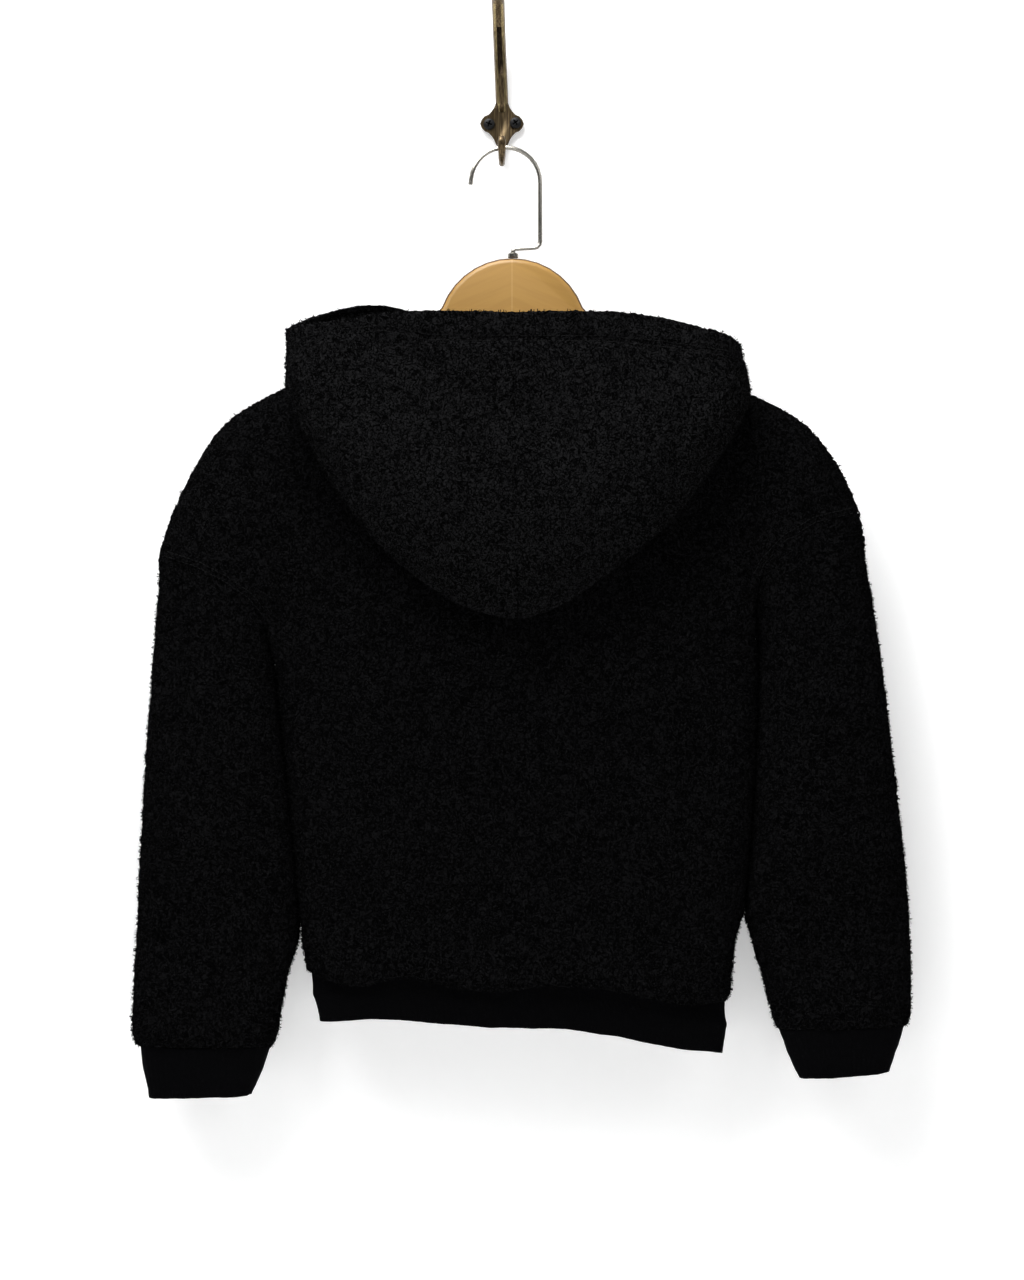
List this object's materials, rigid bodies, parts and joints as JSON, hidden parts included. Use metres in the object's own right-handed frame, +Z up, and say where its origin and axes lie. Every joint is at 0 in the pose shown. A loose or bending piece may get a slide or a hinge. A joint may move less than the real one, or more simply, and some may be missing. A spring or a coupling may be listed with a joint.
{
  "type": "fleece hoodie on a hanger and wall hook",
  "caption": "Cropped black fleece hoodie with a folded hood and ribbed cuffs and waistband, seen from the back, on a wooden hanger hung from a cast brass wall hook.",
  "frame": {"origin": "middle of the wall plate's back face, on the wall", "axes": "+Z up, +Y into the wall, +X to the right of someone who faces the back of the hanging garment"},
  "size_m": [0.667, 0.1386, 0.9511],
  "materials": {
    "fleece": "black curly sherpa fleece, matt",
    "rib_knit": "black rib knit, matt",
    "hanger_wood": "honey-varnished beech, satin",
    "hanger_steel": "chromed steel, polished",
    "hook_brass": "antique brass, satin",
    "screw_steel": "blackened steel, satin"
  },
  "bodies": {
    "root": {"back_panel": "fleece", "front_panel": "fleece", "sleeve_left": "fleece", "sleeve_right": "fleece", "hood_left": "fleece", "hood_right": "fleece", "cuff_left": "rib_knit", "cuff_right": "rib_knit", "waistband_back": "rib_knit", "waistband_front": "rib_knit", "hanger_body": "hanger_wood", "hanger_ferrule": "hanger_steel", "hanger_hook": "hanger_steel", "wall_hook": "hook_brass", "screw_left": "screw_steel", "screw_right": "screw_steel"}
  },
  "joints": []
}
